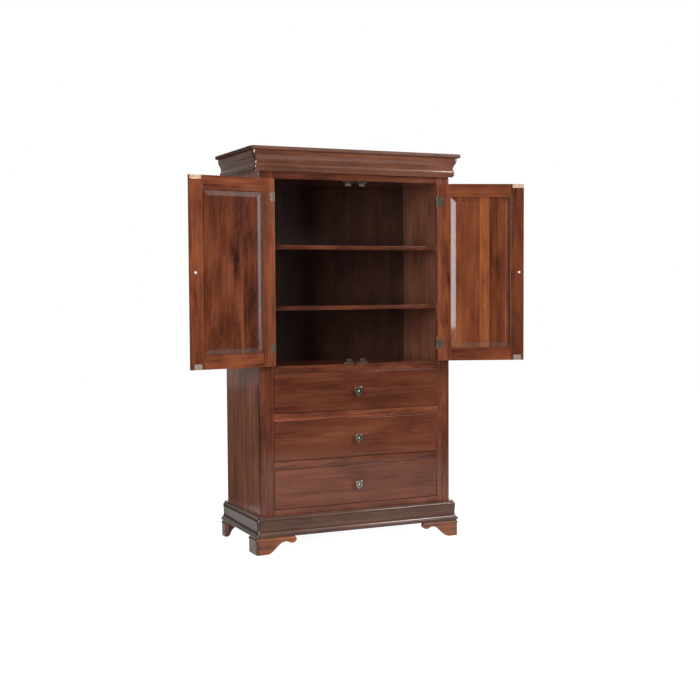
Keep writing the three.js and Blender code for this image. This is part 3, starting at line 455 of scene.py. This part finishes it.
# Which finish and which way of the grain each board has, and how far its arrises are eased in millimetres
boards = {
    "left_side_panel": (sideFinish, "up", 0.8), "right_side_panel": (sideFinish, "up", 0.8),
    "back_panel": (backFinish, "up", 0),
    "lower_shelf": (caseFinish, "across", 1.5), "upper_shelf": (caseFinish, "across", 1.5),
    "left_face_stile": (frameFinish, "up", 0.6), "right_face_stile": (frameFinish, "up", 0.6),
    "top_deck": (frameFinish, "across", 0.8), "middle_deck": (frameFinish, "across", 0.8),
    "bottom_drawer_divider": (frameFinish, "across", 0.8), "lower_drawer_divider": (frameFinish, "across", 0.8),
    "upper_drawer_divider": (frameFinish, "across", 0.8),
    "crown_moulding_front": (mouldingFinish, "across", 0), "base_moulding_front": (baseFinish, "across", 0),
    "crown_moulding_left": (mouldingFinish, "deep", 0), "base_moulding_left": (baseFinish, "deep", 0),
    "crown_moulding_right": (mouldingFinish, "deep", 0), "base_moulding_right": (baseFinish, "deep", 0),
    "crown_top": (topFinish, "across", 0.8),
    "left_front_foot": (footFinish, "across", 0.8), "right_front_foot": (footFinish, "across", 0.8),
    "left_back_foot": (footFinish, "across", 0.8), "right_back_foot": (footFinish, "across", 0.8),
}
for drawerName in ("top", "middle", "bottom"):
    boards[drawerName + "_drawer_front"] = (drawerFinish, "across", 0.6)
    boards[drawerName + "_drawer_box"] = (linerFinish, "deep", 0.6)
for doorName, panelWood in (("left", curlyPanel), ("right", stripedPanel)):
    for memberName in ("hinge_stile", "meeting_stile"):
        boards[f"{doorName}_door_{memberName}"] = (doorFinish, "up", 1.2)
    for memberName in ("top_rail", "bottom_rail"):
        boards[f"{doorName}_door_{memberName}"] = (doorFinish, "across", 1.2)
    boards[f"{doorName}_door_panel"] = (panelWood, "up", 0.5)

# How much each board's colour is scaled, where it differs: less than 1 is darker. Some of these values are
# painted light and shade rather than stain, as noted beside them.
stainAndPaintedLightDepths = {
    "crown_moulding_front": 1.12, "crown_moulding_left": 0.85, "base_moulding_left": 0.7,
    "left_face_stile": 0.88, "right_face_stile": 1.15, "left_side_panel": 1.7, "right_side_panel": 1.25,
    # the back panel's low value is painted shade inside the case
    "top_deck": 0.78, "upper_shelf": 1.1, "back_panel": 0.42,
    # the drawer fronts go from darker at the top to lighter at the bottom: painted light, stronger towards the
    # floor
    "top_drawer_front": 0.9, "middle_drawer_front": 1.06, "bottom_drawer_front": 1.16,
    "upper_drawer_divider": 1.4, "lower_drawer_divider": 1.02,
    # the feet's high values are painted light, bounced up from the floor
    "left_front_foot": 2.25, "right_front_foot": 1.9, "left_back_foot": 1.3,
    "left_door_panel": 0.96, "left_door_hinge_stile": 0.92, "left_door_bottom_rail": 1.1,
    "right_door_hinge_stile": 1.04, "right_door_meeting_stile": 0.62, "right_door_top_rail": 0.84,
    "right_door_bottom_rail": 0.9,
}

for index, (boardName, (finish, grain, ease)) in enumerate(boards.items()):
    # a panel's bevels meet its field at a slight angle, and still in a crisp line
    piece = dressed(boardName, ease, panelCrispAngle if boardName.endswith("door_panel") else crispAngle)
    turn = grainTurns[grain].to_4x4()
    if "_door_" in boardName:
        turn = turn @ doorSpaces[boardName.split("_")[0]].inverted()
    spots = [turn @ vertex.co for vertex in piece.data.vertices]
    middle = Vector([(min(s[i] for s in spots) + max(s[i] for s in spots)) / 2 for i in range(3)])
    space = Matrix.Translation(-middle) @ turn
    material = stainedCherry(f"stained cherry {boardName.replace('_', ' ')}", finish, space,
                             firstSeed + seedStep * index, stainAndPaintedLightDepths.get(boardName, 1.0))
    piece.data.materials.append(material)
print("boards dressed:", len(boards))


def metal(name, values):
    # a plated or polished metal: patina that dulls it in patches, and fine wear in its bump
    material, tree = newMaterial(name)
    place = addNode(tree, "TexCoord").outputs["Object"]
    patina = addNode(tree, "TexNoise", {"Vector": place, "Scale": 1 / (7 * mm), "Detail": 4, "Roughness": 0.55})
    hollow = addNode(tree, "AmbientOcclusion", {"Distance": 4 * mm}, samples=6, only_local=True)
    rubbed = addNode(tree, "MapRange", {"Value": hollow.outputs["AO"], "From Min": 0.75, "From Max": 1.0,
                                        "To Min": -values["hollows"], "To Max": 0})
    dulled = addNode(tree, "Math", {0: patina.outputs["Fac"], 1: rubbed.outputs[0]})
    spread = addNode(tree, "MapRange", {"Value": dulled.outputs[0], "From Min": 0.1, "From Max": 0.75})
    colour = addNode(tree, "Mix", {"Factor": spread.outputs[0], "A": hexColor(values["dark"]),
                                   "B": hexColor(values["light"])}, data_type="RGBA")
    gloss = addNode(tree, "MapRange", {
        "Value": patina.outputs["Fac"], "From Min": 0.3, "From Max": 0.7,
        "To Min": values["roughness"] - 0.08, "To Max": values["roughness"] + 0.12})
    grain = addNode(tree, "TexNoise", {"Vector": place, "Scale": 1 / (0.6 * mm), "Detail": 2})
    bump = addNode(tree, "Bump", {"Height": grain.outputs["Fac"], "Strength": 0.15, "Distance": 0.1 * mm})
    shader = addNode(tree, "BsdfPrincipled", {
        "Base Color": colour.outputs["Result"], "Metallic": 1.0, "Roughness": gloss.outputs["Result"],
        "Normal": bump.outputs["Normal"]})
    addNode(tree, "OutputMaterial", {"Surface": shader.outputs["BSDF"]})
    return material


# Cast zinc with antiqued nickel plate: dark in its hollows, pale where it is rubbed
agedNickel = metal("cast zinc antiqued nickel plate", {
    "dark": "#4A4232", "light": "#F4EAD8", "roughness": 0.22, "hollows": 0.5})
# Rolled steel with dull nickel plate: grey, slightly warm
hingeSteel = metal("rolled steel dull nickel plate", {
    "dark": "#544A40", "light": "#968676", "roughness": 0.36, "hollows": 0.3})
# Stamped brass under lacquer: soft pale gold
strikeBrass = metal("stamped brass lacquered", {
    "dark": "#D8B48C", "light": "#F4DCBE", "roughness": 0.54, "hollows": 0.1})
# Stamped steel with zinc plate: grey, spangled
zincSteel = metal("stamped steel zinc plate", {
    "dark": "#94857A", "light": "#C8B8AC", "roughness": 0.62, "hollows": 0.1})
# Pressed steel with dull bronze plate: brown-grey, darker than the zinc
catchSteel = metal("pressed steel dull bronze plate", {
    "dark": "#4A443C", "light": "#7C7266", "roughness": 0.42, "hollows": 0.2})
# Turned steel with bright zinc plate: near white
screwSteel = metal("turned steel bright zinc plate", {
    "dark": "#F2EEE8", "light": "#FFFFFF", "roughness": 0.75, "hollows": 0})

# Which metal each fitting has, by the end of its name, and how far its arrises are eased in millimetres
fittings = {
    "pull": (agedNickel, 0.9), "leaf": (hingeSteel, 0.3), "top_strike": (strikeBrass, 0.3),
    "bottom_strike": (zincSteel, 0.3), "catch": (catchSteel, 0.3),
}
for nodeName in frame["nodes"]:
    for ending, (material, ease) in fittings.items():
        if nodeName.endswith(ending):
            piece = dressed(nodeName, ease)
            piece.data.materials.append(material)
print("metal fittings dressed")

# Screw heads: radius below and at the top, height, how round, slot width and depth, all in mm
screws = {
    "panHead": {"metal": screwSteel, "radius": 6.5, "top": 5.8, "height": 3.6, "round": 1.8,
                "slot": 1.0, "cut": 0.8},
    "flatHead": {"metal": zincSteel, "radius": 2.9, "top": 2.6, "height": 0.9, "round": 0.3,
                 "slot": 0.8, "cut": 0.5},
}


def addScrew(name, kind, space, body):
    # a turned head on its underside's centre, pointing along +z of its space, with a sawn slot
    values = screws[kind]
    mesh = bmesh.new()
    bmesh.ops.create_cone(mesh, cap_ends=True, segments=24, radius1=values["radius"] * mm,
                          radius2=values["top"] * mm, depth=values["height"] * mm)
    bmesh.ops.translate(mesh, verts=mesh.verts, vec=(0, 0, values["height"] / 2 * mm))
    rim = [e for e in mesh.edges if all(v.co.z > values["height"] / 2 * mm for v in e.verts)]
    bmesh.ops.bevel(mesh, geom=rim, offset=values["round"] * mm, offset_type="OFFSET", affect="EDGES",
                    segments=4, profile=0.5, material=-1)
    for side in (-1, 1):
        bmesh.ops.bisect_plane(mesh, geom=mesh.verts[:] + mesh.edges[:] + mesh.faces[:], dist=1e-7,
                               plane_co=(0, side * values["slot"] / 2 * mm, 0), plane_no=(0, 1, 0))
    strip = [f for f in mesh.faces
             if f.normal.z > 0.9 and abs(f.calc_center_median().y) < values["slot"] / 4 * mm]
    cut = bmesh.ops.extrude_face_region(mesh, geom=strip)
    sunk = [g for g in cut["geom"] if isinstance(g, bmesh.types.BMVert)]
    bmesh.ops.delete(mesh, geom=[f for f in strip if f.is_valid], context="FACES")
    bmesh.ops.translate(mesh, verts=sunk, vec=(0, 0, -values["cut"] * mm))
    bmesh.ops.recalc_face_normals(mesh, faces=mesh.faces)
    bmesh.ops.transform(mesh, matrix=space, verts=mesh.verts)
    piece = finished(mesh, name)
    piece.data.materials.append(values["metal"])
    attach(piece, body)


def nodeRange(nodeName, space):
    # the lowest and highest corners of a node in a door's space, in millimetres
    spots = [space.inverted() @ v.co / mm for v in frame["nodes"][nodeName].data.vertices]
    return [Vector([pick(s[i] for s in spots) for i in range(3)]) for pick in (min, max)]


# Where the heads sit, in millimetres
seats = {
    # from a head's underside up to the face of what it holds. The strikes' are countersunk, so that the
    # closed door's catch clears them, and a pull's covers the plain head in the CAD.
    "pull": 2.2, "strike": 0.8, "leaf": 0.5, "ear": 0.3,
    "pullRise": 5,  # from the middle of a pull
    "plateInset": 9,  # from the ends of a strike or a leaf
    "earInset": 8, "earDepth": 7.5,  # from the ends and the front of a catch's ears
    "catchBody": 17,  # a catch's body beyond its ears
}

count = 0
fromDoorBack = Matrix.Rotation(math.radians(-90), 4, "X")  # a head's +z turned to a door's +y
for doorName, space in doorSpaces.items():
    body = frame["nodes"][doorName + "_door_panel"]["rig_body"]
    spots = []  # kind, place in the door's space, and the strike whose slot it shares
    low, high = nodeRange(doorName + "_door_pull", space)
    spots.append(("panHead", (low.x + high.x) / 2, high.y - seats["pull"],
                  (low.z + high.z) / 2 + seats["pullRise"], "bottom"))
    low, high = nodeRange(doorName + "_door_top_strike", space)
    for x in (low.x + seats["plateInset"], high.x - seats["plateInset"]):
        spots.append(("flatHead", x, high.y - seats["strike"], (low.z + high.z) / 2, "top"))
    low, high = nodeRange(doorName + "_door_bottom_strike", space)
    spots.append(("flatHead", (low.x + high.x) / 2, high.y - seats["strike"], (low.z + high.z) / 2, "bottom"))
    for end in ("lower", "upper"):
        low, high = nodeRange(f"{doorName}_{end}_hinge_door_leaf", space)
        x = high.x - seats["plateInset"] if doorName == "left" else low.x + seats["plateInset"]
        for z in (low.z + seats["plateInset"], high.z - seats["plateInset"]):
            spots.append(("flatHead", x, high.y - seats["leaf"], z, "bottom"))
    for kind, x, y, z, strike in spots:
        count += 1
        spot = space @ Matrix.Translation(Vector((x, y, z)) * mm) @ fromDoorBack
        driven = Matrix.Rotation(0.5 * count, 4, "Z")  # each slot stops at its own angle
        addScrew(f"{doorName}_door_screw_{count}", kind, spot @ driven, body)
for side in ("left", "right"):
    for level, lift in (("upper", -1), ("lower", 1)):  # the upper catches hang, the lower ones stand
        low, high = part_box(f"{side}_{level}_catch")
        face = high.z - seats["catchBody"] * mm if lift > 0 else low.z + seats["catchBody"] * mm
        for x in (low.x + seats["earInset"] * mm, high.x - seats["earInset"] * mm):
            count += 1
            spot = Matrix.Translation((x, low.y + seats["earDepth"] * mm, face - lift * seats["ear"] * mm))
            tip = Matrix.Rotation(0 if lift > 0 else math.pi, 4, "X")
            driven = Matrix.Rotation(count, 4, "Z")
            addScrew(f"catch_screw_{count}", "flatHead", spot @ tip @ driven,
                     frame["nodes"]["top_deck"]["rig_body"])
print("screws driven:", count)
